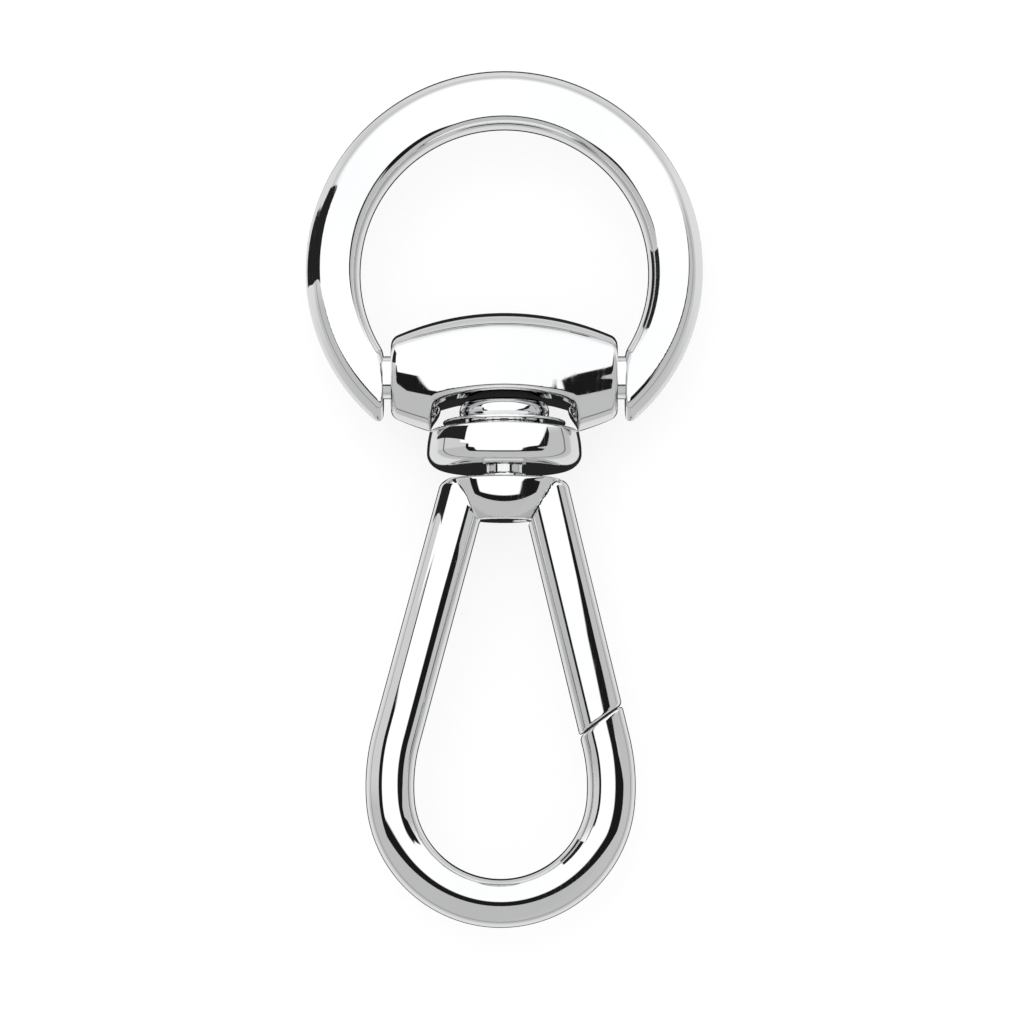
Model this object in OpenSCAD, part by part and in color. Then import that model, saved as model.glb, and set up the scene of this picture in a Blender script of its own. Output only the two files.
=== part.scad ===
// Swivel snap hook: an open strap ring, a swivelling barrel block and a round-bar hook with a sprung gate.
// +Y points from the hook to the ring, +X to the gate side, +Z to the front.
// The origin is the centre of the ring's eye.

/* [Ring] */
// Radius of the ring's eye
ring_eye_r = 14.45; // [14:0.05:15.5]
// Thickness of the ring from front to back
ring_t = 5; // [4.8:0.05:5.4]
// Width of the flat between the two round halves of the ring's bar, at its sides
ring_flat = 0.45; // [0.44:0.02:0.8]
// Height of the outside circle's centre above the eye's centre, which makes the bar thicker at the top
ring_crown = 0.42; // [0:0.02:0.44]
// Gap between the block and each end of the ring
ring_gap = 0.75; // [0.5:0.05:1.1]
// Radius of the rounded lower corner at each end of the ring
ring_corner_r = 1.1; // [0.6:0.1:1.4]
// Distance from the eye's centre down to the ring's pivot axis
ring_drop = 10.5; // [10:0.1:11]

/* [Ring pins] */
// Diameter of the two stub pins
pin_d = 4.3; // [3:0.1:4.4]
// Depth of each pin in its ring end
pin_in_ring = 2.4; // [1.5:0.1:2.6]
// Length of each pin that bears in the block
pin_in_block = 3.7; // [2.5:0.1:3.8]

/* [Swivel block] */
// Length of the barrel along the ring's pivot axis
barrel_len = 22.7; // [22.3:0.1:23.2]
// Diameter of the barrel at its middle
barrel_d = 13; // [12.4:0.1:13.8]
// Radius of the barrel's lengthwise arc
barrel_arc_r = 26.8; // [24:0.2:40]
// Rounding of the barrel's end edges
barrel_edge_r = 0.6; // [0.2:0.1:1]
// Width of the window through the barrel
window_w = 13.3; // [13:0.1:13.6]
// Depth of the window's top below the pivot axis at the middle
window_top = 1.95; // [1.5:0.05:2.1]
// Radius of the window's arched top
window_arch_r = 33.8; // [30:0.2:60]
// How far the window's edges flare out at the front and back
window_flare = 0.7; // [0.2:0.1:0.9]
// Diameter of the collar
collar_d = 15.5; // [15:0.1:17]
// Thickness of the collar
collar_t = 4.35; // [3.5:0.05:6]
// Distance from the pivot axis down to the collar's top face
collar_drop = 5.35; // [5.2:0.05:5.6]
// Rounding of the collar's top edge
collar_top_r = 0.35; // [0.1:0.05:0.8]
// Rounding of the collar's bottom edge
collar_bottom_r = 1.2; // [0.4:0.1:1.6]

/* [Swivel shank] */
// Diameter of the shank in the collar
shank_d = 3.6; // [3.2:0.1:4]
// Diameter of the neck below the collar
neck_d = 4.4; // [4.2:0.1:6]
// Visible length of the neck
neck_len = 0.55; // [0.3:0.05:2]
// Diameter of the retaining disc
disc_d = 12.8; // [9:0.1:12.8]
// Thickness of the retaining disc's rim
disc_t = 2.05; // [1.4:0.05:2.1]
// Rounding of the retaining disc's rim
disc_edge_r = 0.85; // [0.3:0.05:0.95]
// Diameter of the hub under the retaining disc
hub_d = 8; // [6.4:0.1:9]
// Height of the hub under the retaining disc
hub_h = 0.5; // [0.2:0.05:0.55]

/* [Hook] */
// Radius of the ball-shaped bowl at the hook's head
bowl_r = 5.8; // [5.7:0.05:6.2]
// Height of the bowl's centre above its flat top
bowl_rise = 0.8; // [0.6:0.05:1]
// Height of the bowl from its flat top to its flat underside
bowl_h = 4.2; // [4.1:0.05:4.4]
// Rounding of the bowl's top edge
bowl_edge_r = 0.5; // [0.2:0.05:0.8]
// Diameter of the hook's round bar
bar_d = 4.85; // [4.4:0.05:5]
// Rounding of the shoulders above the two legs
shoulder_r = 0.9; // [0.5:0.05:1.2]
// Distance of the spine's axis from the swivel axis at the bowl's underside
spine_x = 4.92; // [4.8:0.02:5.3]
// Distance of the gate's axis from the swivel axis at the bowl's underside
gate_x = 4.8; // [4.7:0.02:5.1]
// Distance from the bowl's underside down to the centre of the bottom bend
bend_drop = 27.2; // [24:0.1:34]
// Radius of the bottom bend at the bar's axis
bend_r = 10.98; // [9.5:0.02:12.5]
// Shift of the bottom bend towards the spine
bend_shift = 0.36; // [0:0.02:0.6]
// Radius of the gentle arcs that lead into the bottom bend
ease_r = 18.8; // [16:0.1:24]

/* [Gate] */
// Distance of the gate's cut below the bowl's underside
cut_drop = 20.1; // [15:0.1:20.6]
// Slope of the gate's cut, from the crosswise direction
cut_angle = 36.8; // [24:0.2:44]
// Gap between the gate and the hook's tip
cut_gap = 0.12; // [0.05:0.01:0.3]
// Distance of the gate's pivot from the swivel axis
pivot_x = 1.2; // [1.1:0.05:1.4]
// Distance of the gate's pivot below the bowl's flat top
pivot_drop = 2.35; // [2.25:0.05:2.5]
// Diameter of the gate's pivot pin
gate_pin_d = 1.2; // [0.8:0.1:1.3]
// Radius of the gate's tongue round the pivot
tongue_r = 1.25; // [1.1:0.05:1.35]
// Thickness of the gate's tongue
tongue_t = 1.8; // [1.4:0.1:2.4]
// Slope of the tongue below the crosswise direction
tongue_angle = 22; // [18:1:26]
// Reach of the heel that the spring presses on, from the pivot
heel_reach = 1.48; // [1.3:0.02:1.6]
// Radius of the heel
heel_r = 0.9; // [0.7:0.05:1]
// Full opening angle of the gate
gate_open = 28; // [16:1:28]

/* [Gate spring] */
// Outer diameter of the coil spring
spring_d = 1.7; // [1.3:0.1:1.8]
// Diameter of the spring's wire
spring_wire = 0.3; // [0.2:0.05:0.35]
// Number of coils
spring_coils = 9; // [6:1:12]
// Clearance round the spring in its bore
spring_fit = 0.12; // [0.05:0.01:0.2]

/* [Fits] */
// Radial clearance of a turning fit
turn_fit = 0.05; // [0.02:0.01:0.09]
// Clearance between faces that slide past each other
face_fit = 0.08; // [0.04:0.01:0.12]

/* [Hidden] */
$fn = 72;

ring_outer_r = ring_eye_r + ring_t + ring_flat;
ring_mouth = barrel_len + 2 * ring_gap;
bright = [0.86, 0.87, 0.89];
steel = [0.62, 0.63, 0.66];
// How far a cutting shape runs past the face that it cuts
past = 1;

pivot_y = -ring_drop;
collar_top_y = pivot_y - collar_drop;
collar_bottom_y = collar_top_y - collar_t;
bowl_top_y = collar_bottom_y - neck_len;
bowl_y = bowl_top_y + bowl_rise;
under_y = bowl_top_y - bowl_h;
disc_bottom_y = collar_top_y + face_fit + hub_h;
disc_socket = 0.6 * disc_t;
shank_top_y = disc_bottom_y + disc_socket;
bend_y = under_y - bend_drop;
bar_r = bar_d / 2;
gate_pivot = [pivot_x, bowl_top_y - pivot_drop];
slot_t = tongue_t + 2 * face_fit;
spring_bore_d = spring_d + 2 * spring_fit;
// The heel stands up and to the left of the pivot
heel_angle = 156;
heel_centre = gate_pivot + heel_reach * [cos(heel_angle), sin(heel_angle)];

// On each side a gentle arc meets the bottom bend a little below its widest point
ease_angle = 5;
function ease_centre(side) = [-bend_shift, bend_y]
    + (ease_r - bend_r) * [-side * cos(ease_angle), sin(ease_angle)];
function leg_top(side) = [side > 0 ? gate_x : -spine_x, under_y];
// Lean of a leg from the swivel axis, with the leg's axis tangent to the gentle arc of its side
function lean(side) = let(run = ease_centre(side) - leg_top(side))
    asin(ease_r / norm(run)) - atan2(-side * run[0], -run[1]);
// Point on a leg's axis at a distance below the bowl's underside
function on_leg(side, drop) = leg_top(side) + drop * [side * tan(lean(side)), -1];
cut_point = on_leg(1, cut_drop);

// Lays a shape that is drawn round the Z axis round the Y axis, with its +Z as +Y
module upright() rotate([-90, 0, 0]) children();

// Half outline of a disc with a rounded lower and upper edge, standing on the X axis
module disc_outline(r, h, low_r, high_r) {
    square([r - low_r, h / 2]);
    translate([0, h / 2]) square([r - high_r, h / 2]);
    translate([0, low_r]) square([r, h - low_r - high_r]);
    translate([r - low_r, low_r]) circle(r = low_r);
    translate([r - high_r, h - high_r]) circle(r = high_r);
}

// Half of the ring's round section, swept at a radius to its flat side: side 1 bulges out, side -1 bulges in
module ring_half(radius, side)
    rotate_extrude($fn = 144)
        intersection() {
            translate([radius, 0]) circle(d = ring_t);
            translate([side > 0 ? radius : radius - ring_t, -ring_t]) square([ring_t, 2 * ring_t]);
        }

// The flat between the two halves, widest at the ring's top
module ring_web()
    linear_extrude(ring_t, center = true)
        difference() {
            translate([0, ring_crown]) circle(r = ring_outer_r - ring_t / 2, $fn = 144);
            circle(r = ring_eye_r + ring_t / 2, $fn = 144);
        }

// What is cut away to round the lower corner of the ring's right end
module ring_corner_cut() {
    x = ring_mouth / 2 + ring_corner_r;
    reach = ring_outer_r - ring_corner_r;
    y = ring_crown - sqrt(pow(reach, 2) - pow(x, 2));
    far = [x, y - ring_crown] * (ring_outer_r + past) / reach + [0, ring_crown];
    linear_extrude(2 * ring_t, center = true)
        difference() {
            polygon([[x, y], far, [far[0], -ring_outer_r], [ring_mouth / 2 - past, -ring_outer_r],
                     [ring_mouth / 2 - past, y]]);
            translate([x, y]) circle(r = ring_corner_r);
        }
}

module bow_ring()
    color(bright)
        difference() {
            union() {
                translate([0, ring_crown, 0]) ring_half(ring_outer_r - ring_t / 2, 1);
                ring_half(ring_eye_r + ring_t / 2, -1);
                ring_web();
            }
            translate([-ring_mouth / 2, -2 * ring_outer_r, -ring_t])
                cube([ring_mouth, 2 * ring_outer_r, 2 * ring_t]);
            for (side = [0, 1]) mirror([side, 0, 0]) {
                ring_corner_cut();
                translate([ring_mouth / 2 - past, pivot_y, 0]) rotate([0, 90, 0])
                    cylinder(d = pin_d, h = pin_in_ring + past);
            }
        }

// A stub pin, pressed in a ring end and turning in the block
module ring_pin(side) {
    chamfer = 0.3;
    inner = barrel_len / 2 - pin_in_block;
    outer = ring_mouth / 2 + pin_in_ring;
    color(steel)
        mirror([side > 0 ? 0 : 1, 0, 0]) translate([0, pivot_y, 0]) rotate([0, 90, 0])
            rotate_extrude()
                polygon([[0, inner], [pin_d / 2 - chamfer, inner], [pin_d / 2, inner + chamfer],
                         [pin_d / 2, outer], [0, outer]]);
}
module ring_pin_left() ring_pin(-1);
module ring_pin_right() ring_pin(1);

// The barrel, turned from a long arc with rounded ends
module barrel() {
    end_x = barrel_len / 2;
    arc_x = barrel_d / 2 - barrel_arc_r;
    inner_r = barrel_arc_r - barrel_edge_r;
    edge_x = arc_x + sqrt(pow(inner_r, 2) - pow(end_x - barrel_edge_r, 2));
    arc_end = (end_x - barrel_edge_r) * barrel_arc_r / inner_r;
    rotate([0, 90, 0]) rotate_extrude() {
        intersection() {
            translate([arc_x, 0]) circle(r = barrel_arc_r, $fn = 180);
            translate([0, -arc_end]) square([barrel_d, 2 * arc_end]);
        }
        translate([0, -end_x]) square([edge_x, 2 * end_x]);
        for (end = [-1, 1]) translate([edge_x, end * (end_x - barrel_edge_r)]) circle(r = barrel_edge_r);
    }
}

// Outline of the window with its arched top, grown outwards by the given amount
module window_outline(grow) {
    half = window_w / 2 + grow;
    r = window_arch_r + grow;
    centre_y = pivot_y - window_top - window_arch_r;
    steps = 10;
    turn = asin(half / r);
    polygon(concat([[half, collar_top_y], [-half, collar_top_y]],
        [for (i = [-steps:steps]) [r * sin(turn * i / steps), centre_y + r * cos(turn * i / steps)]]));
}

// One flared stretch of the window, between two depths in front of the middle
module window_flare_step(near, near_grow, far, far_grow) {
    skin = 0.01;
    hull() {
        translate([0, 0, near - skin]) linear_extrude(skin) window_outline(near_grow);
        translate([0, 0, far]) linear_extrude(skin) window_outline(far_grow);
    }
}

// The window through the barrel: straight in the middle, with edges that curve outwards
module window() {
    straight = 3.6;
    bend = 5.2;
    front = barrel_d / 2 + 0.3;
    linear_extrude(2 * straight, center = true) window_outline(0);
    for (face = [0, 1]) mirror([0, 0, face]) {
        window_flare_step(straight, 0, bend, 0.35 * window_flare);
        window_flare_step(bend, 0.35 * window_flare, front, 1.6 * window_flare);
    }
}

// The two feet that carry the barrel's legs down into the collar
module leg_feet() {
    rise = collar_drop - window_top;
    difference() {
        translate([0, collar_top_y - collar_t / 2, 0]) upright()
            cylinder(d = collar_d - 2 * collar_top_r, h = collar_t / 2 + rise);
        translate([-window_w / 2, collar_top_y, -collar_d]) cube([window_w, rise + past, 2 * collar_d]);
    }
}

module swivel_block()
    color(bright)
        difference() {
            union() {
                translate([0, pivot_y, 0]) barrel();
                translate([0, collar_bottom_y, 0]) upright() rotate_extrude()
                    disc_outline(collar_d / 2, collar_t, collar_bottom_r, collar_top_r);
                leg_feet();
            }
            window();
            for (side = [0, 1]) mirror([side, 0, 0])
                translate([barrel_len / 2 - pin_in_block - 2 * face_fit, pivot_y, 0]) rotate([0, 90, 0])
                    cylinder(d = pin_d + 2 * turn_fit, h = pin_in_block + 2 * face_fit + past);
            translate([0, collar_bottom_y - past, 0]) upright()
                cylinder(d = shank_d + 2 * turn_fit, h = collar_t + 2 * past);
        }

// The retaining disc, slid in through the window and pressed on the shank's end
module retaining_disc()
    color(bright)
        translate([0, disc_bottom_y, 0]) upright()
            difference() {
                union() {
                    rotate_extrude() disc_outline(disc_d / 2, disc_t, disc_edge_r, disc_edge_r);
                    translate([0, 0, -hub_h]) cylinder(d = hub_d, h = hub_h + disc_t / 2);
                }
                translate([0, 0, -hub_h - past]) cylinder(d = shank_d, h = hub_h + disc_socket + past);
            }

// The bowl under the collar: a ball with a flat top, a rounded top edge and a flat underside
module bowl() {
    inner_r = bowl_r - bowl_edge_r;
    edge_x = sqrt(pow(inner_r, 2) - pow(bowl_rise + bowl_edge_r, 2));
    arc_top = (bowl_rise + bowl_edge_r) * bowl_r / inner_r;
    arc_bottom = bowl_rise + bowl_h;
    translate([0, bowl_y, 0]) upright() rotate_extrude() {
        intersection() {
            circle(r = bowl_r);
            translate([0, -arc_bottom]) square([bowl_r, arc_bottom - arc_top]);
        }
        translate([0, -arc_bottom]) square([bowl_r / 3, bowl_h]);
        translate([0, -bowl_rise - bowl_edge_r * 2]) square([edge_x, bowl_edge_r * 2]);
        translate([edge_x, -bowl_rise - bowl_edge_r]) circle(r = bowl_edge_r);
    }
}

// What a leg's upper end is trimmed to: a flat top with rounded shoulders, and all that lies below the bowl
module shoulder(side) {
    tilt = lean(side);
    side_x = side * on_leg(side, -bowl_h)[0] + bar_r / cos(tilt) + 0.04;
    edge_x = side_x - shoulder_r * (1 - sin(tilt)) / cos(tilt);
    low = -bowl_h - bar_d;
    translate([0, bowl_top_y, 0]) upright() rotate_extrude() {
        translate([edge_x, -shoulder_r]) circle(r = shoulder_r);
        polygon([[0, 0], [edge_x, 0], [edge_x + shoulder_r * cos(tilt), shoulder_r * (sin(tilt) - 1)],
                 [side_x - low * tan(tilt), low], [0, low]]);
    }
    translate([-2 * bend_drop, under_y - 4 * bend_drop, -bar_d])
        cube([4 * bend_drop, 4 * bend_drop, 2 * bar_d]);
}

// Stations along the hook's bar, each a point and the outward direction there: down the spine, round and up
function arc_stations(centre, r, from, to, steps) =
    [for (i = [0:steps]) let(a = from + (to - from) * i / steps) [centre + r * [cos(a), sin(a)], a]];
function leg_station(side, drop) = [on_leg(side, drop), side > 0 ? lean(1) : 180 - lean(-1)];
ease_steps = 5;
bend_steps = 34;
function hook_stations() = concat(
    [leg_station(-1, -bowl_h - bar_r)],
    arc_stations(ease_centre(-1), ease_r, 180 - lean(-1), 180 + ease_angle, ease_steps),
    [for (i = [1:bend_steps - 1]) let(a = 180 + ease_angle + (180 - 2 * ease_angle) * i / bend_steps)
        [[-bend_shift, bend_y] + bend_r * [cos(a), sin(a)], a]],
    arc_stations(ease_centre(1), ease_r, 360 - ease_angle, 360 + lean(1), ease_steps),
    [leg_station(1, cut_drop - 1.5 * bar_d)]);

// The hook's round bar, swept along its stations
module hook_bar() {
    sides = 44;
    stations = hook_stations();
    last = len(stations) - 1;
    points = [for (s = stations) for (k = [0:sides - 1]) let(a = 360 * k / sides, out = bar_r * cos(a))
        [s[0][0] + out * cos(s[1]), s[0][1] + out * sin(s[1]), bar_r * sin(a)]];
    faces = concat([[for (k = [sides - 1:-1:0]) k]],
        [for (i = [0:last - 1]) for (k = [0:sides - 1]) let(a = i * sides + k, b = i * sides + (k + 1) % sides)
            [a, b, b + sides, a + sides]],
        [[for (k = [0:sides - 1]) last * sides + k]]);
    polyhedron(points, faces);
}

// The gate's round bar, with its upper end trimmed to the head's shoulder
module gate_bar()
    intersection() {
        translate([gate_x, under_y, 0]) rotate([0, 0, lean(1)]) upright()
            translate([0, 0, -cut_drop - 2 * bar_d]) cylinder(d = bar_d, h = cut_drop + 2 * bar_d + 2 * bowl_h);
        shoulder(1);
    }

// A block above the gate's cut, reaching so far to each side and up, and moved away from the tip
module above_cut(away, reach)
    translate([cut_point[0], cut_point[1], 0]) rotate([0, 0, cut_angle])
        translate([-reach, away, -bar_d]) cube([2 * reach, reach, 2 * bar_d]);

// Outline of the tongue and its heel round the pivot
module tongue_outline() {
    translate(gate_pivot) {
        circle(r = tongue_r);
        rotate(-tongue_angle) translate([0, -tongue_r]) square([bowl_r, 2 * tongue_r]);
        rotate(heel_angle) translate([0, -heel_r]) square([heel_reach, 2 * heel_r]);
    }
    translate(heel_centre) circle(r = heel_r);
}

// The slot that the tongue and its heel swing in
module slot_outline() {
    r = tongue_r + face_fit;
    heel_out = heel_reach + heel_r + face_fit;
    low = tongue_angle + gate_open;
    far = 2 * bowl_r;
    translate(gate_pivot) {
        circle(r = r);
        polygon([r * [sin(tongue_angle), cos(tongue_angle)],
                 r * [sin(tongue_angle), cos(tongue_angle)] + far * [cos(tongue_angle), -sin(tongue_angle)],
                 r * [-sin(low), -cos(low)] + far * [cos(low), -sin(low)],
                 r * [-sin(low), -cos(low)]]);
        intersection() {
            circle(r = heel_out);
            translate([-heel_out, -r]) square([heel_out + heel_r / 2, r + min(heel_out, pivot_drop - face_fit)]);
        }
    }
}

module hook_body()
    color(bright)
        difference() {
            union() {
                bowl();
                translate([0, bowl_top_y - past, 0]) upright() cylinder(d = neck_d, h = neck_len + past - face_fit);
                translate([0, bowl_top_y, 0]) upright() cylinder(d = shank_d, h = shank_top_y - bowl_top_y);
                difference() {
                    intersection() {
                        hook_bar();
                        shoulder(-1);
                    }
                    above_cut(0, 2 * bar_d);
                }
            }
            linear_extrude(slot_t, center = true) slot_outline();
            translate([0, gate_pivot[1], 0]) upright()
                cylinder(d = spring_bore_d, h = shank_top_y - gate_pivot[1] + past);
            translate([gate_pivot[0], gate_pivot[1], -bowl_r]) cylinder(d = gate_pin_d, h = bowl_r + bar_r);
        }

module gate()
    color(bright)
        difference() {
            union() {
                difference() {
                    intersection() {
                        gate_bar();
                        above_cut(cut_gap, 2 * bend_drop);
                    }
                    translate([0, bowl_y, 0]) sphere(r = bowl_r + face_fit);
                }
                intersection() {
                    linear_extrude(tongue_t, center = true) tongue_outline();
                    union() {
                        bowl();
                        gate_bar();
                    }
                }
            }
            translate([gate_pivot[0], gate_pivot[1], 0])
                cylinder(d = gate_pin_d + 2 * turn_fit, h = 2 * tongue_t, center = true);
        }

// The gate's pivot pin, pressed in from the back, with its end dressed flush to the bowl
module gate_pin()
    color(steel)
        intersection() {
            translate([gate_pivot[0], gate_pivot[1], -bowl_r]) cylinder(d = gate_pin_d, h = bowl_r + bar_r);
            translate([0, bowl_y, 0]) sphere(r = bowl_r);
        }

// The coil spring in the hollow shank, between the retaining disc and the gate's heel
module gate_spring() {
    sides = 8;
    per_turn = 16;
    r = (spring_d - spring_wire) / 2;
    low = heel_centre[1] + heel_r + face_fit / 2 + spring_wire / 2;
    high = shank_top_y - face_fit / 2 - spring_wire / 2;
    last = spring_coils * per_turn;
    points = [for (i = [0:last]) let(turn = 360 * i / per_turn, y = low + (high - low) * i / last)
        for (k = [0:sides - 1]) let(a = 360 * k / sides, out = r + spring_wire / 2 * cos(a))
            [out * cos(turn), y + spring_wire / 2 * sin(a), out * sin(turn)]];
    faces = concat([[for (k = [0:sides - 1]) k]],
        [for (i = [0:last - 1]) for (k = [0:sides - 1]) let(a = i * sides + k, b = i * sides + (k + 1) % sides)
            [a, a + sides, b + sides, b]],
        [[for (k = [sides - 1:-1:0]) last * sides + k]]);
    color(steel) polyhedron(points, faces);
}

bow_ring();
ring_pin_left();
ring_pin_right();
swivel_block();
retaining_disc();
hook_body();
gate();
gate_pin();
gate_spring();
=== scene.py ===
"""Swivel snap hook in polished metal, lying on a pale floor under soft studio light.

The shapes repeat the sizes of the part's source, in millimetres, and are skinned as smooth meshes in metres.
+Y points from the hook to the ring, +X to the gate side and +Z up, to the front of the hook.
"""

import math

import bpy
import numpy as np
from mathutils import Matrix, Vector


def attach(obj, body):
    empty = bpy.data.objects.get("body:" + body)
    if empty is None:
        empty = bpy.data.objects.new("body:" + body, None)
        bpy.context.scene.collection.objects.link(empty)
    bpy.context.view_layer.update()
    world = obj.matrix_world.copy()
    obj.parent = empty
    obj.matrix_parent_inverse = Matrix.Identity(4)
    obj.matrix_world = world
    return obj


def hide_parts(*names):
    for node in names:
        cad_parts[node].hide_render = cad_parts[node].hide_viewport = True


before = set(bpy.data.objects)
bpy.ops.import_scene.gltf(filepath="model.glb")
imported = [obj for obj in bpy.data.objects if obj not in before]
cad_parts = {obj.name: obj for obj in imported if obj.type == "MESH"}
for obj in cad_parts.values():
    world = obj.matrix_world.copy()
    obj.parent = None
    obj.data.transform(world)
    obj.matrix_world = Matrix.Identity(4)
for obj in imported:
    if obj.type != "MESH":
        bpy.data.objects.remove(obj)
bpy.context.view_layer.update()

MM = 0.001

# Ring
RING_EYE_R = 14.45
RING_OUTER_R = 20.08
RING_CROWN = 0.42
RING_HALF_T = 2.5
RING_MOUTH_HALF = 12.1
RING_MOUTH_TOP_Y = -2
RING_RIM_R = 0.3
RING_CORNER_R = 1.1
RING_STRETCH = 1.018
RING_SLOPE = math.radians(60)
RING_SLOPE_DEPTH = 0.33
RING_SLOPE_R = 0.3

# Ring pins
PIVOT_Y = -10.5
PIN_R = 2.15
PIN_INNER_X = 7.65
PIN_OUTER_X = 14.5
PIN_EDGE_R = 0.25

# Swivel block
BARREL_HALF = 11.35
BARREL_R = 6.5
BARREL_ARC_R = 26.8
BARREL_EDGE_R = 0.6
FLAT_R = 12
FLAT_DEPTH = 0.4
FLAT_ANGLE = math.radians(28)
FLAT_BLEND_R = 1.5
FEET_HALF_Y = 3
FEET_HALF_Z = 2
WINDOW_HALF = 6.35
WINDOW_TOP_Y = PIVOT_Y - 1.95
WINDOW_ARCH_R = 33.8
WINDOW_STRAIGHT = 3.6
WINDOW_FLARE = 0.7
LIP_HEIGHT = 1.5
LIP_ANGLE = math.radians(5.5)
LIP_EDGE_R = 0.05
WINDOW_EDGE_R = 0.5
COLLAR_R = 7.75
COLLAR_TOP_Y = -15.85
COLLAR_BOTTOM_Y = -19.8
COLLAR_TOP_R = 0.35
COLLAR_BOTTOM_R = 1.6
COLLAR_WIDEST_Y = -18.3
COLLAR_BELLY_R = 9

# Shank and retaining disc
SHANK_R = 1.8
SHANK_TOP_Y = -14.04
SHANK_HALF = 3.4
NECK_R = 2.2
NECK_TOP_Y = -20.28
NECK_HALF = 1
DISC_R = 6.15
DISC_BOTTOM_Y = -15.27
DISC_TOP_Y = -12.95
PLATE_TOP_Y = -14.95
BUTTON_R = 4.5
BUTTON_TOP_R = 1.0
BUTTON_FOOT_R = 1.2
PLATE_EDGE_R = 0.15
HUB_R = 4.0
HUB_HALF = 0.5

# Hook
BOWL_R = 5.8
BOWL_FLATNESS = 1.4
BOWL_Y = -19.95
BOWL_TOP_Y = -20.75
BOWL_UNDER_Y = -24.95
BOWL_EDGE_R = 0.3
BAR_R = 2.425
SHOULDER_R = 0.9
SPINE_X = 4.92
GATE_X = 4.8
BEND_CENTRE = (-0.36, -52.15)
BEND_R = 10.98
EASE_R = 18.8
EASE_ANGLE = math.radians(5)

# Gate
CUT_DROP = 20.1
CUT_ANGLE = math.radians(36.8)
CUT_GAP = 0.12
CUT_EDGE_R = 0.3
GATE_PIVOT = (1.2, -23.1)
GATE_PIN_R = 0.6
GATE_PIN_FIT = 0.04
GATE_OPEN = math.radians(28)
TONGUE_ANGLE = math.radians(22)
TONGUE_R = 1.25
TONGUE_LENGTH = 3.6
TONGUE_HALF_T = 0.9
FACE_FIT = 0.08

# Studio: places in millimetres, and light levels
TENT_FRONT_Z = 52
TENT_WHITE = 1.26
TENT_FRAME = 0.012
TABLE_LIGHT = 0.62
TENT_LIGHT = 0.76
SIDE_LIGHT = 0.64
ROOF_LIGHT = 0.7
BACK_LIGHT = 0.88
JOINT_LIGHT = 0.2
SCREEN_LIGHT = 0.02
PAINTED_SHADE_LIGHT = 0.02
ROOM_LIGHT = 0.9
SHADE_TILT = math.radians(6.7)
FLOOR_HALF = 0.9
FLOOR_GAP = 0.00002
FLOOR_GREY = 0.3
FLOOR_WHITE = 0.75


# Solids as distances: each function gives how far the points x, y, z lie from a surface, negative inside it

def common(a, b, radius):
    """What two solids share, with the edge between their faces rounded."""
    corner = np.hypot(np.maximum(radius + a, 0), np.maximum(radius + b, 0))
    return np.minimum(-radius, np.maximum(a, b)) + corner


def joined(a, b, radius):
    """Two solids together, with a fillet where their faces meet."""
    corner = np.hypot(np.maximum(radius - a, 0), np.maximum(radius - b, 0))
    return np.maximum(radius, np.minimum(a, b)) - corner


def eased(t):
    """0 below 0, 1 above 1 and a smooth rise between."""
    t = np.clip(t, 0, 1)
    return t * t * (3 - 2 * t)


def segment_distance(x, y, start, end):
    """Distance from a straight stretch of a line in the XY plane."""
    run = (end[0] - start[0], end[1] - start[1])
    along = ((x - start[0]) * run[0] + (y - start[1]) * run[1]) / (run[0] ** 2 + run[1] ** 2)
    along = np.clip(along, 0, 1)
    return np.hypot(x - start[0] - along * run[0], y - start[1] - along * run[1])


def arc_distance(x, y, centre, radius, start, end):
    """Distance from an arc in the XY plane, between two angles."""
    middle = (start + end) / 2
    angle = np.arctan2(y - centre[1], x - centre[0]) - middle
    angle = angle - 2 * math.pi * np.round(angle / (2 * math.pi))
    angle = middle + np.clip(angle, start - middle, end - middle)
    return np.hypot(x - centre[0] - radius * np.cos(angle), y - centre[1] - radius * np.sin(angle))


# The hook's line: each leg is tangent to a gentle arc that leads into the bottom bend

def ease_centre(side):
    reach = EASE_R - BEND_R
    return (BEND_CENTRE[0] - side * reach * math.cos(EASE_ANGLE),
            BEND_CENTRE[1] + reach * math.sin(EASE_ANGLE))


def leg_top(side):
    return (GATE_X if side > 0 else -SPINE_X, BOWL_UNDER_Y)


def lean(side):
    """Lean of a leg from the swivel axis."""
    centre, top = ease_centre(side), leg_top(side)
    run = (centre[0] - top[0], centre[1] - top[1])
    return math.asin(EASE_R / math.hypot(*run)) - math.atan2(-side * run[0], -run[1])


def on_leg(side, drop):
    """Point on a leg's axis at a distance below the bowl's underside."""
    top = leg_top(side)
    return (top[0] + drop * side * math.tan(lean(side)), top[1] - drop)


def on_arc(side, angle):
    centre = ease_centre(side)
    return (centre[0] + EASE_R * math.cos(angle), centre[1] + EASE_R * math.sin(angle))


CUT_POINT = on_leg(1, CUT_DROP)


def above_cut(x, y):
    """Height above the slanting cut between the gate and the hook's tip."""
    return (y - CUT_POINT[1]) * math.cos(CUT_ANGLE) - (x - CUT_POINT[0]) * math.sin(CUT_ANGLE)


def hook_line_distance(x, y):
    turn = math.pi
    spine_end, tip_start = turn - lean(-1), 2 * turn + lean(1)
    return np.minimum.reduce([
        segment_distance(x, y, on_leg(-1, -8), on_arc(-1, spine_end)),
        arc_distance(x, y, ease_centre(-1), EASE_R, spine_end, turn + EASE_ANGLE),
        arc_distance(x, y, BEND_CENTRE, BEND_R, turn + EASE_ANGLE, 2 * turn - EASE_ANGLE),
        arc_distance(x, y, ease_centre(1), EASE_R, 2 * turn - EASE_ANGLE, tip_start),
        segment_distance(x, y, on_arc(1, tip_start), on_leg(1, CUT_DROP - 6)),
    ])


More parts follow.
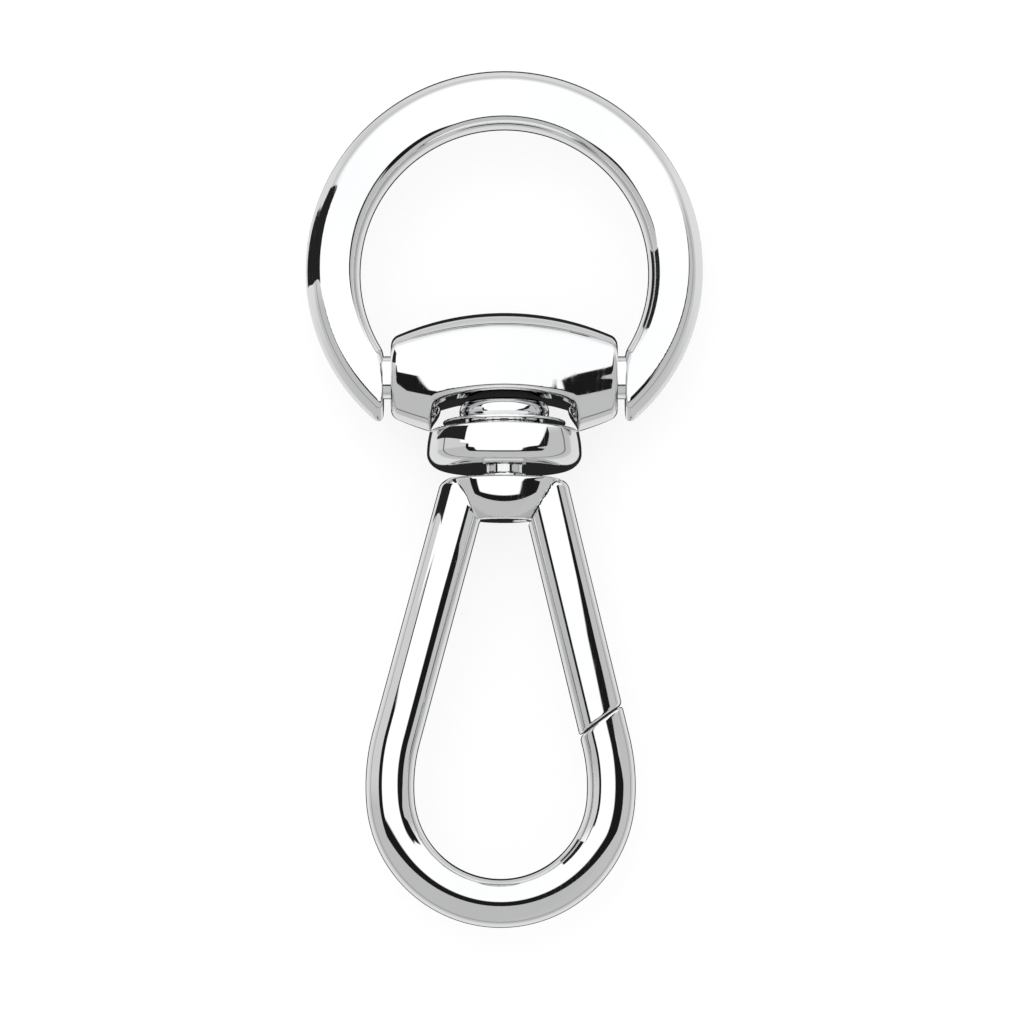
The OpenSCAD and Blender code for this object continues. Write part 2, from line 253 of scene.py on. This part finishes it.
def ball(x, y, z):
    """The head's ball, a little flatter from front to back."""
    return np.sqrt(x ** 2 + (y - BOWL_Y) ** 2 + (z * BOWL_FLATNESS) ** 2) - BOWL_R


def bowl(x, y, z):
    """The ball-shaped head with its flat top and underside."""
    return common(common(ball(x, y, z), y - BOWL_TOP_Y, BOWL_EDGE_R), BOWL_UNDER_Y - y, 0.15)


def gate_slot(x, y, z):
    """The slot in the bowl that the gate's tongue swings in."""
    x, y = x - GATE_PIVOT[0], y - GATE_PIVOT[1]
    low = TONGUE_ANGLE + GATE_OPEN
    middle = (TONGUE_ANGLE + low) / 2
    radius = TONGUE_R + FACE_FIT
    wedge = np.maximum.reduce([
        x * math.sin(TONGUE_ANGLE) + y * math.cos(TONGUE_ANGLE) - radius,
        -x * math.sin(low) - y * math.cos(low) - radius,
        y * math.sin(middle) - x * math.cos(middle)])
    return np.maximum(np.minimum(np.hypot(x, y) - radius, wedge), np.abs(z) - TONGUE_HALF_T - FACE_FIT)


def hook_body(x, y, z):
    """The bent bar with its head, neck and shank."""
    bar = np.hypot(hook_line_distance(x, y), z) - BAR_R
    bar = common(bar, y - BOWL_TOP_Y, SHOULDER_R)
    # The cut only trims the tip, which lies on the gate side
    bar = common(bar, np.minimum(above_cut(x, y), x - 3), CUT_EDGE_R)
    head = joined(bowl(x, y, z), bar, 0.22)
    across = np.hypot(x, z)
    neck = np.maximum(across - NECK_R, np.abs(y - NECK_TOP_Y + NECK_HALF) - NECK_HALF)
    shank = np.maximum(across - SHANK_R, np.abs(y - SHANK_TOP_Y + SHANK_HALF) - SHANK_HALF)
    head = np.minimum(joined(head, neck, 0.15), shank)
    pin_hole = np.hypot(x - GATE_PIVOT[0], y - GATE_PIVOT[1]) - GATE_PIN_R - GATE_PIN_FIT
    pin_hole = np.maximum(pin_hole, z - BAR_R)
    return common(common(head, -gate_slot(x, y, z), 0.1), -pin_hole, 0.05)


def gate(x, y, z):
    """The straight leg with its tongue in the bowl's slot."""
    tilt = lean(1)
    off_axis = (x - GATE_X) * math.cos(tilt) + (y - BOWL_UNDER_Y) * math.sin(tilt)
    bar = np.hypot(off_axis, z) - BAR_R
    leg = common(bar, y - BOWL_TOP_Y, SHOULDER_R)
    leg = common(leg, FACE_FIT - ball(x, y, z), 0.1)
    leg = common(leg, CUT_GAP - above_cut(x, y), CUT_EDGE_R)
    px, py = x - GATE_PIVOT[0], y - GATE_PIVOT[1]
    along = px * math.cos(TONGUE_ANGLE) - py * math.sin(TONGUE_ANGLE)
    off = px * math.sin(TONGUE_ANGLE) + py * math.cos(TONGUE_ANGLE)
    tongue = np.hypot(along - np.clip(along, 0, TONGUE_LENGTH), off) - TONGUE_R
    tongue = common(tongue, np.abs(z) - TONGUE_HALF_T, 0.1)
    tongue = np.maximum(tongue, np.minimum(bowl(x, y, z), bar))
    return joined(leg, tongue, 0.1)


def bow_ring(x, y, z):
    """The open ring."""
    # The ring is a little taller above its middle
    y = np.where(y > 0, y / RING_STRETCH, y)
    inward = RING_EYE_R + RING_HALF_T - np.hypot(x, y)
    from_crown = np.hypot(x, y - RING_CROWN)
    outward = from_crown - RING_OUTER_R + RING_HALF_T
    bar = np.hypot(np.maximum(np.maximum(inward, outward), 0), z) - RING_HALF_T
    # The outer side slopes back from the front and the back to a soft edge
    slope_out = outward * math.sin(RING_SLOPE) + np.abs(z) * math.cos(RING_SLOPE)
    bar = common(bar, slope_out - RING_HALF_T + RING_SLOPE_DEPTH, RING_SLOPE_R)
    mouth = np.maximum(np.abs(x) - RING_MOUTH_HALF, y - RING_MOUTH_TOP_Y)
    # The rim of each end is softly rounded, and the lower corner more so
    corner = eased((from_crown - RING_OUTER_R + 2.6) / 2.4)
    return common(bar, -mouth, RING_RIM_R + (RING_CORNER_R - RING_RIM_R) * corner)


def ring_pin(x, y, z):
    """Both pins at once: each is skinned within its own box."""
    middle, half = (PIN_INNER_X + PIN_OUTER_X) / 2, (PIN_OUTER_X - PIN_INNER_X) / 2
    return common(np.hypot(y - PIVOT_Y, z) - PIN_R, np.abs(np.abs(x) - middle) - half, PIN_EDGE_R)


def swivel_block(x, y, z):
    """The barrel with its window, and the collar that turns on the hook's shank."""
    out = np.hypot(y - PIVOT_Y, z)
    barrel = np.hypot(x, out + BARREL_ARC_R - BARREL_R) - BARREL_ARC_R
    # Below the middle the barrel's front and back are a little flatter
    narrowing = BARREL_ARC_R - np.sqrt(BARREL_ARC_R ** 2 - np.minimum(np.abs(x), BARREL_HALF + 1) ** 2)
    off = FLAT_R - BARREL_R + FLAT_DEPTH + narrowing
    flat = np.hypot(y - PIVOT_Y - off * math.sin(FLAT_ANGLE), np.abs(z) + off * math.cos(FLAT_ANGLE)) - FLAT_R
    barrel = common(barrel, flat, FLAT_BLEND_R)
    barrel = common(barrel, np.abs(x) - BARREL_HALF, BARREL_EDGE_R)
    across = np.hypot(x, z)
    feet = np.maximum.reduce([
        across - COLLAR_R + COLLAR_TOP_R,
        np.abs(y - WINDOW_TOP_Y + FEET_HALF_Y) - FEET_HALF_Y,
        np.abs(z) - FEET_HALF_Z])
    body = joined(barrel, feet, 0.5)
    # The window opens out towards the front and back, and its arch is flatter there than inside
    flare = WINDOW_FLARE * np.clip((np.abs(z) - WINDOW_STRAIGHT) / 2.4, 0, 2) ** 2
    arch_r = WINDOW_ARCH_R * (0.6 + 0.4 * eased((np.abs(z) - 2.5) / 2.5))
    arch = np.hypot(x, y - WINDOW_TOP_Y + arch_r) - arch_r - 0.3 * flare
    open_out = (0.6 + 0.12 * np.clip(-12 - y, 0, 4)) * eased(1 + body / 3)
    sides = np.abs(x) - WINDOW_HALF - open_out
    window = common(arch, sides, 0.3)
    # The lip is a slightly steeper band of the barrel's front along the arch
    height = LIP_HEIGHT * (1 - eased((np.abs(x) - WINDOW_HALF + 1.2) / 1.6))
    bevel = body * math.cos(LIP_ANGLE) + (height - window) * math.sin(LIP_ANGLE)
    body = common(common(body, bevel, LIP_EDGE_R), -window, WINDOW_EDGE_R)
    belly = (y - COLLAR_WIDEST_Y) ** 2 / (2 * COLLAR_BELLY_R)
    collar = common(across - COLLAR_R + belly, y - COLLAR_TOP_Y, COLLAR_TOP_R)
    collar = common(collar, COLLAR_BOTTOM_Y - y, COLLAR_BOTTOM_R)
    return joined(body, collar, 0.3)


def retaining_disc(x, y, z):
    """A round button on a thin wider plate, with a hub below."""
    across = np.hypot(x, z)
    middle, half = (PLATE_TOP_Y + DISC_BOTTOM_Y) / 2, (PLATE_TOP_Y - DISC_BOTTOM_Y) / 2
    plate = common(across - DISC_R, np.abs(y - middle) - half, PLATE_EDGE_R)
    button = common(across - BUTTON_R, y - DISC_TOP_Y, BUTTON_TOP_R)
    button = common(button, DISC_BOTTOM_Y - y, BUTTON_FOOT_R)
    hub = common(across - HUB_R, np.abs(y - DISC_BOTTOM_Y) - HUB_HALF, 0.05)
    return joined(np.minimum(plate, button), hub, 0.1)


# Skins: a solid's surface as an even mesh of four-sided faces with the solid's own normals

def slope(solid, points, reach=0.004):
    """Outward direction of the solid's surface at each point, and how steeply the distance rises along it."""
    columns = []
    for axis in range(3):
        shift = np.zeros(3)
        shift[axis] = reach
        columns.append(solid(*(points + shift).T) - solid(*(points - shift).T))
    direction = np.stack(columns, axis=1)
    length = np.maximum(np.linalg.norm(direction, axis=1, keepdims=True), 1e-9)
    return direction / length, length / (2 * reach)


def first_net(solid, low, high, step):
    """Points and faces of a rough net, with one point in each cell that the surface passes through."""
    low = np.array(low, dtype=float)
    count = np.ceil((np.array(high) - low) / step).astype(int) + 1
    ticks = [low[i] + step * np.arange(count[i]) for i in range(3)]
    y, z = np.meshgrid(ticks[1], ticks[2], indexing="ij")
    value = np.stack([solid(np.full_like(y, x), y, z) for x in ticks[0]])
    inside = value < 0
    corners = [np.array([i, j, k]) for i in (0, 1) for j in (0, 1) for k in (0, 1)]
    filled = sum(inside[tuple(slice(c[i], count[i] - 1 + c[i]) for i in range(3))].astype(int) for c in corners)
    crossed = (filled > 0) & (filled < 8)
    number = np.full(crossed.shape, -1)
    number[crossed] = np.arange(crossed.sum())
    cells = np.argwhere(crossed)
    place, hits = np.zeros((len(cells), 3)), np.zeros(len(cells))
    for near in corners:
        for far in corners:
            if (far - near).min() < 0 or (far - near).sum() != 1:
                continue
            a, b = value[tuple((cells + near).T)], value[tuple((cells + far).T)]
            cut = (a < 0) != (b < 0)
            part = np.where(cut, a / np.where(cut, a - b, 1), 0)
            place += cut[:, None] * (near + part[:, None] * (far - near))
            hits += cut
    faces = []
    for axis in range(3):
        side, up = np.eye(3, dtype=int)[(axis + 1) % 3], np.eye(3, dtype=int)[(axis + 2) % 3]
        flips = np.argwhere(np.diff(inside.astype(int), axis=axis))
        quad = np.stack([number[tuple((flips - d).T)] for d in (0 * side, side, side + up, up)], axis=1)
        outward = inside[tuple(flips.T)]
        faces.append(np.where(outward[:, None], quad, quad[:, ::-1]))
    return low + step * (cells + place / hits[:, None]), np.concatenate(faces)


def skin(name, solid, low, high, step):
    """An object whose mesh lies on the solid's surface."""
    points, faces = first_net(solid, low, high, step)
    ends = np.concatenate([faces[:, [k, (k + 1) % 4]] for k in range(4)])
    ends = np.concatenate([ends, ends[:, ::-1]])
    valence = np.bincount(ends[:, 0], minlength=len(points))[:, None]
    for relax in (0.6, 0.6, 0.5, 0, 0):
        near = [np.bincount(ends[:, 0], points[ends[:, 1], axis], len(points)) for axis in range(3)]
        points = points + relax * (np.stack(near, axis=1) / valence - points)
        normals, steepness = slope(solid, points)
        points = points - normals * np.clip(solid(*points.T)[:, None] / steepness, -step, step)
    normals, steepness = slope(solid, points)
    mesh = bpy.data.meshes.new(name)
    mesh.from_pydata((points * MM).tolist(), [], faces.tolist())
    mesh.polygons.foreach_set("use_smooth", np.ones(len(faces), dtype=bool))
    mesh.normals_split_custom_set_from_vertices(normals.tolist())
    mesh.update()
    piece = bpy.data.objects.new(name, mesh)
    bpy.context.collection.objects.link(piece)
    return piece


# Shader groups

def node_tree(kind, name):
    tree = bpy.data.node_groups.new(name, kind)
    return tree, tree.nodes.new("NodeGroupInput"), tree.nodes.new("NodeGroupOutput")


def add_sockets(tree, inputs, outputs):
    for name, value in inputs:
        tree.interface.new_socket(name, in_out="INPUT", socket_type="NodeSocketFloat").default_value = value
    for name, kind in outputs:
        tree.interface.new_socket(name, in_out="OUTPUT", socket_type=kind)


def math_node(tree, operation, a, b=None, c=None):
    node = tree.nodes.new("ShaderNodeMath")
    node.operation = operation
    for socket, value in zip(node.inputs, (a, b, c)):
        if value is None:
            continue
        if isinstance(value, (int, float)):
            socket.default_value = value
        else:
            tree.links.new(value, socket)
    return node.outputs[0]


def band(tree, value, low, high, blur):
    """1 where the value lies between two edges, with soft ends."""
    rise = tree.nodes.new("ShaderNodeMapRange")
    rise.interpolation_type = "SMOOTHSTEP"
    tree.links.new(value, rise.inputs["Value"])
    rise.inputs["From Min"].default_value = low - blur
    rise.inputs["From Max"].default_value = low + blur
    fall = tree.nodes.new("ShaderNodeMapRange")
    fall.interpolation_type = "SMOOTHSTEP"
    tree.links.new(value, fall.inputs["Value"])
    fall.inputs["From Min"].default_value = high - blur
    fall.inputs["From Max"].default_value = high + blur
    fall.inputs["To Min"].default_value = 1
    fall.inputs["To Max"].default_value = 0
    return math_node(tree, "MULTIPLY", rise.outputs[0], fall.outputs[0])


def noise(tree, scale, detail, stretch=(1, 1, 1)):
    place = tree.nodes.new("ShaderNodeTexCoord")
    mapping = tree.nodes.new("ShaderNodeMapping")
    mapping.inputs["Scale"].default_value = stretch
    texture = tree.nodes.new("ShaderNodeTexNoise")
    texture.inputs["Detail"].default_value = detail
    texture.inputs["Scale"].default_value = scale
    tree.links.new(place.outputs["Object"], mapping.inputs["Vector"])
    tree.links.new(mapping.outputs["Vector"], texture.inputs["Vector"])
    return texture.outputs["Fac"]


def build_polish_group():
    """Faint buffing lines: a mask and a height that run along the part."""
    tree, group_in, group_out = node_tree("ShaderNodeTree", "buffing lines")
    add_sockets(tree, [("Amount", 1.0)], [("Mask", "NodeSocketFloat"), ("Height", "NodeSocketFloat")])
    lines = noise(tree, 900, 3, (4, 0.35, 1.5))
    breaks = noise(tree, 120, 2)
    mask = math_node(tree, "MULTIPLY", band(tree, lines, 0.58, 2, 0.06), band(tree, breaks, 0.5, 2, 0.12))
    mask = math_node(tree, "MULTIPLY", mask, group_in.outputs["Amount"])
    tree.links.new(mask, group_out.inputs["Mask"])
    tree.links.new(math_node(tree, "MULTIPLY", mask, -1.0), group_out.inputs["Height"])
    return tree


def build_haze_group():
    """Patches of faint handling haze on the polish."""
    tree, group_in, group_out = node_tree("ShaderNodeTree", "handling haze")
    add_sockets(tree, [("Amount", 1.0)], [("Mask", "NodeSocketFloat")])
    patches = band(tree, noise(tree, 55, 4), 0.52, 2, 0.16)
    tree.links.new(math_node(tree, "MULTIPLY", patches, group_in.outputs["Amount"]), group_out.inputs["Mask"])
    return tree


def build_unevenness_group():
    """The slow waves that hand polishing leaves under the plating."""
    tree, group_in, group_out = node_tree("ShaderNodeTree", "polished casting")
    add_sockets(tree, [("Amount", 1.0)], [("Height", "NodeSocketFloat")])
    waves = noise(tree, 160, 1.5)
    tree.links.new(math_node(tree, "MULTIPLY", waves, group_in.outputs["Amount"]), group_out.inputs["Height"])
    return tree


def place_group(tree, group, amount):
    node = tree.nodes.new("ShaderNodeGroup")
    node.node_tree = group
    node.inputs["Amount"].default_value = amount
    return node


def metal(name, colour, hazed, roughness, haze_roughness, lines, waves):
    """Polished metal with buffing lines, handling haze and slow waves in its surface."""
    material = bpy.data.materials.new(name)
    material.use_nodes = True
    tree = material.node_tree
    shader = tree.nodes["Principled BSDF"]
    shader.inputs["Metallic"].default_value = 1
    polish = place_group(tree, bpy.data.node_groups["buffing lines"], lines)
    haze = place_group(tree, bpy.data.node_groups["handling haze"], 1)
    casting = place_group(tree, bpy.data.node_groups["polished casting"], waves)
    mix = tree.nodes.new("ShaderNodeMix")
    mix.data_type = "RGBA"
    mix.inputs["A"].default_value = (*colour, 1)
    mix.inputs["B"].default_value = (*hazed, 1)
    tree.links.new(haze.outputs["Mask"], mix.inputs["Factor"])
    tree.links.new(mix.outputs["Result"], shader.inputs["Base Color"])
    rough = math_node(tree, "MULTIPLY_ADD", haze.outputs["Mask"], haze_roughness, roughness)
    rough = math_node(tree, "MULTIPLY_ADD", polish.outputs["Mask"], 0.06, rough)
    tree.links.new(rough, shader.inputs["Roughness"])
    height = math_node(tree, "MULTIPLY_ADD", polish.outputs["Height"], 0.02, casting.outputs["Height"])
    bump = tree.nodes.new("ShaderNodeBump")
    bump.inputs["Strength"].default_value = 1
    bump.inputs["Distance"].default_value = 0.00001
    tree.links.new(height, bump.inputs["Height"])
    tree.links.new(bump.outputs["Normal"], shader.inputs["Normal"])
    return material


def build_floor():
    """A large pale floor just under the collar, white to the camera, that keeps the hook's soft shadow."""
    half, z = FLOOR_HALF, -COLLAR_R * MM - FLOOR_GAP
    mesh = bpy.data.meshes.new("floor")
    corners = [(-half, -half, z), (half, -half, z), (half, half, z), (-half, half, z)]
    mesh.from_pydata(corners, [], [(0, 1, 2, 3)])
    floor = bpy.data.objects.new("floor", mesh)
    bpy.context.collection.objects.link(floor)
    material = bpy.data.materials.new("pale floor")
    material.use_nodes = True
    tree = material.node_tree
    shader = tree.nodes["Principled BSDF"]
    shader.inputs["Base Color"].default_value = (FLOOR_GREY, FLOOR_GREY, FLOOR_GREY, 1)
    shader.inputs["Roughness"].default_value = 1
    shader.inputs["Specular IOR Level"].default_value = 0
    shader.inputs["Emission Color"].default_value = (1, 1, 1, 1)
    rays = tree.nodes.new("ShaderNodeLightPath")
    glow = math_node(tree, "MULTIPLY", rays.outputs["Is Camera Ray"], FLOOR_WHITE)
    tree.links.new(glow, shader.inputs["Emission Strength"])
    mesh.materials.append(material)
    # The metal shows the studio round it, in the world below, and not the floor that it lies on
    floor.visible_glossy = False


def mix_values(tree, factor, a, b):
    node = tree.nodes.new("ShaderNodeMix")
    node.data_type = "FLOAT"
    for socket, value in (("Factor", factor), ("A", a), ("B", b)):
        if isinstance(value, (int, float)):
            node.inputs[socket].default_value = value
        else:
            tree.links.new(value, node.inputs[socket])
    return node.outputs["Result"]


def rise_between(tree, value, low, high):
    """0 at the low value, 1 at the high one and a smooth rise between."""
    node = tree.nodes.new("ShaderNodeMapRange")
    node.interpolation_type = "SMOOTHSTEP"
    tree.links.new(value, node.inputs["Value"])
    node.inputs["From Min"].default_value = low
    node.inputs["From Max"].default_value = high
    return node.outputs[0]


def mirror_card(name, corners, z):
    """A flat card that only mirrors see. Returns its material's tree, its emission and its place sockets."""
    mesh = bpy.data.meshes.new(name)
    mesh.from_pydata([(x * MM, y * MM, z * MM) for x, y in corners], [], [tuple(range(len(corners)))])
    card = bpy.data.objects.new(name, mesh)
    bpy.context.collection.objects.link(card)
    card.visible_camera = card.visible_diffuse = card.visible_shadow = card.visible_transmission = False
    material = bpy.data.materials.new(name)
    material.use_nodes = True
    mesh.materials.append(material)
    tree = material.node_tree
    tree.nodes.clear()
    glow = tree.nodes.new("ShaderNodeEmission")
    tree.links.new(glow.outputs[0], tree.nodes.new("ShaderNodeOutputMaterial").inputs["Surface"])
    place = tree.nodes.new("ShaderNodeTexCoord")
    split = tree.nodes.new("ShaderNodeSeparateXYZ")
    tree.links.new(place.outputs["Object"], split.inputs[0])
    return tree, glow, split.outputs


def build_tent_front():
    """The tent's bright front sheet with its dark frame, close in front of the hook, which only the metal sees:
    a painted reflection.
    """
    outline = [(-80, -78), (95, -78), (95, -44), (60, -36), (60, -30), (100, -12), (125, 10), (170, 50),
               (180, 260), (-130, 260), (-130, 10), (-80, -1)]
    tree, glow, place = mirror_card("tent_front", outline, TENT_FRONT_Z)
    x = math_node(tree, "MULTIPLY", place["X"], 1 / MM)
    y = math_node(tree, "MULTIPLY", place["Y"], 1 / MM)

    def beyond(slant, low, high):
        """The side of a slanting edge where y + slant * x is large."""
        return rise_between(tree, math_node(tree, "MULTIPLY_ADD", x, slant, y), low, high)

    # The sheet is widest level with the ring and narrows in steps towards the hook's bend
    side = math_node(tree, "MAXIMUM", rise_between(tree, x, -67.5, -66), beyond(0.226, -20.5, -17.5))
    side = math_node(tree, "MULTIPLY", side, beyond(0.4545, -52, -49.5))
    left = math_node(tree, "MAXIMUM", side, rise_between(tree, x, -51, -47))
    near = math_node(tree, "MAXIMUM", math_node(tree, "ADD", y, 36.0), 0.0)
    near = math_node(tree, "MULTIPLY_ADD", near, 0.9, 29.0)
    near = rise_between(tree, math_node(tree, "SUBTRACT", near, x), 0, 5)
    far = math_node(tree, "MAXIMUM", rise_between(tree, math_node(tree, "MULTIPLY", x, -1.0), -63, -60),
                    beyond(-0.8, -60, -56))
    far = math_node(tree, "MULTIPLY", far, beyond(-0.6, -48, -45))
    right = math_node(tree, "MAXIMUM", near, far)
    lit = rise_between(tree, y, -61, -58)
    for edge in (left, right):
        lit = math_node(tree, "MULTIPLY", lit, edge)
    tree.links.new(math_node(tree, "MULTIPLY_ADD", lit, TENT_WHITE, TENT_FRAME), glow.inputs["Strength"])


def build_dark_screen():
    """A dark screen to the left of the ring, which only the metal sees: a painted dark reflection."""
    tree, glow, place = mirror_card("dark_screen", [(-30, 5), (66, 5), (66, 52), (-30, 52)], 0)
    card = bpy.data.objects["dark_screen"]
    card.matrix_world = Matrix.Translation(Vector((-82, 0, 18)) * MM) @ Matrix.Rotation(math.pi / 2, 4, "Y")
    glow.inputs["Strength"].default_value = SCREEN_LIGHT


def build_studio():
    """Even light from all round, and for mirrors the pale inside of a studio tent."""
    world = bpy.data.worlds.new("studio")
    bpy.context.scene.world = world
    world.use_nodes = True
    tree = world.node_tree
    background = tree.nodes["Background"]
    place = tree.nodes.new("ShaderNodeTexCoord")
    split = tree.nodes.new("ShaderNodeSeparateXYZ")
    tree.links.new(place.outputs["Generated"], split.inputs[0])
    degrees = 180 / math.pi
    rise = math_node(tree, "MULTIPLY", math_node(tree, "ARCSINE", split.outputs["Y"]), degrees)
    away = math_node(tree, "MULTIPLY", math_node(tree, "ARCCOSINE", split.outputs["Z"]), degrees)
    turn = math_node(tree, "MULTIPLY",
                     math_node(tree, "ARCTAN2", split.outputs["X"], split.outputs["Z"]), degrees)
    upper = rise_between(tree, rise, -4, 6)
    above = rise_between(tree, rise, 20, 40)
    # The table below, the tent's roof and sides, and its back, which is brighter low down
    shade = mix_values(tree, upper, TABLE_LIGHT, TENT_LIGHT)
    shade = mix_values(tree, band(tree, turn, 50, 130, 6), shade, SIDE_LIGHT)
    shade = mix_values(tree, above, shade, ROOF_LIGHT)
    front = math_node(tree, "MULTIPLY", above, band(tree, away, -30, 103, 17))
    shade = mix_values(tree, front, shade, TENT_WHITE)
    # The tent's back starts higher up above the hook
    back = math_node(tree, "MULTIPLY_ADD", above, -11.0, away)
    shade = mix_values(tree, band(tree, back, 118, 160, 3), shade, BACK_LIGHT)
    # The thin dark joint between the tent and its back, and a painted shade behind the hook that only the metal
    # sees, standing in for the hook's own shade and the dark inside its window
    below = math_node(tree, "SUBTRACT", 1.0, above)
    joint = math_node(tree, "MULTIPLY", band(tree, away, 101, 104, 1), below)
    shade = mix_values(tree, joint, shade, JOINT_LIGHT)
    # The painted shade lies behind the hook along a slightly tilted line and is wider on the upper side
    line = math_node(tree, "SUBTRACT", math_node(tree, "MULTIPLY", split.outputs["Z"], math.cos(SHADE_TILT)),
                     math_node(tree, "MULTIPLY", split.outputs["Y"], math.sin(SHADE_TILT)))
    behind = math_node(tree, "MULTIPLY", math_node(tree, "ARCCOSINE", line), degrees)
    behind = math_node(tree, "MULTIPLY_ADD", above, 8, behind)
    shade = mix_values(tree, rise_between(tree, behind, 146, 151), shade, PAINTED_SHADE_LIGHT)
    rays = tree.nodes.new("ShaderNodeLightPath")
    shade = mix_values(tree, rays.outputs["Is Glossy Ray"], ROOM_LIGHT, shade)
    tree.links.new(shade, background.inputs["Color"])
    background.inputs["Strength"].default_value = 1


def build_camera():
    """Looks down on the hook from a little towards its bend, at the photograph's scale."""
    width, distance, tilt = 102.4 * MM, 0.55, math.radians(6.7)
    target = Vector((0.77 * MM, -24.05 * MM, 0))
    camera = bpy.data.objects.new("camera", bpy.data.cameras.new("camera"))
    bpy.context.collection.objects.link(camera)
    back = Vector((0, -math.sin(tilt), math.cos(tilt)))
    up = Vector((0, math.cos(tilt), math.sin(tilt)))
    place = target + distance * back
    camera.matrix_world = Matrix(((1, up[0], back[0], place[0]), (0, up[1], back[1], place[1]),
                                  (0, up[2], back[2], place[2]), (0, 0, 0, 1)))
    camera.data.sensor_width = 36
    camera.data.lens = 36 * distance / width
    camera.data.clip_start = 0.01
    bpy.context.scene.camera = camera


def build_lamp():
    """A broad soft lamp high above, for the floor's shadow."""
    lamp = bpy.data.lights.new("soft lamp", "AREA")
    lamp.size = 0.5
    lamp.energy = 0.6
    holder = bpy.data.objects.new("soft lamp", lamp)
    holder.location = (-0.12, 0.2, 0.6)
    holder.rotation_euler = (-holder.location).to_track_quat("-Z", "Y").to_euler()
    holder.visible_glossy = False
    bpy.context.collection.objects.link(holder)


def build_pieces():
    """The visible pieces, each in place of its solid."""
    plating = metal("polished plating", (0.80, 0.803, 0.808), (0.77, 0.773, 0.78), 0.02, 0.03, 1, 1)
    turned = metal("turned steel", (0.86, 0.865, 0.87), (0.8, 0.805, 0.815), 0.07, 0.05, 1.5, 0.5)
    spring_wire = metal("drawn spring wire", (0.55, 0.55, 0.57), (0.45, 0.45, 0.46), 0.3, 0.1, 1, 0.5)
    # Name, solid, box's low and high corner, mesh step, body, solid that it stands for, finish
    rows = [
        ("ring", bow_ring, (-20.6, -15.2, -3), (20.6, 20.8, 3), 0.2,
         "ring", "bow_ring", plating),
        ("block", swivel_block, (-11.8, -20.7, -8.2), (11.8, -3.5, 8.2), 0.16,
         "block", "swivel_block", plating),
        ("disc", retaining_disc, (-6.9, -16.2, -6.9), (6.9, -12.8, 6.9), 0.16,
         "hook", "retaining_disc", plating),
        ("hook", hook_body, (-14.4, -66.1, -6.4), (13.8, -13.6, 6.4), 0.19,
         "hook", "hook_body", plating),
        ("gate_leg", gate, (-0.6, -47.2, -3), (13, -20.3, 3), 0.16,
         "gate", "gate", plating),
        ("left_pin", ring_pin, (-15, -13.1, -2.6), (-7.2, -7.9, 2.6), 0.2,
         "ring", "ring_pin_left", turned),
        ("right_pin", ring_pin, (7.2, -13.1, -2.6), (15, -7.9, 2.6), 0.2,
         "ring", "ring_pin_right", turned),
    ]
    for name, solid, low, high, step, body, node, material in rows:
        piece = skin(name, solid, low, high, step)
        piece.data.materials.append(material)
        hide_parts(node)
        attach(piece, body)
    for node, material in (("gate_pin", turned), ("gate_spring", spring_wire)):
        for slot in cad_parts[node].material_slots:
            slot.material = material


build_polish_group()
build_haze_group()
build_unevenness_group()
build_pieces()
build_floor()
build_studio()
build_tent_front()
build_dark_screen()
build_lamp()
build_camera()
bpy.context.scene.view_settings.view_transform = "Standard"
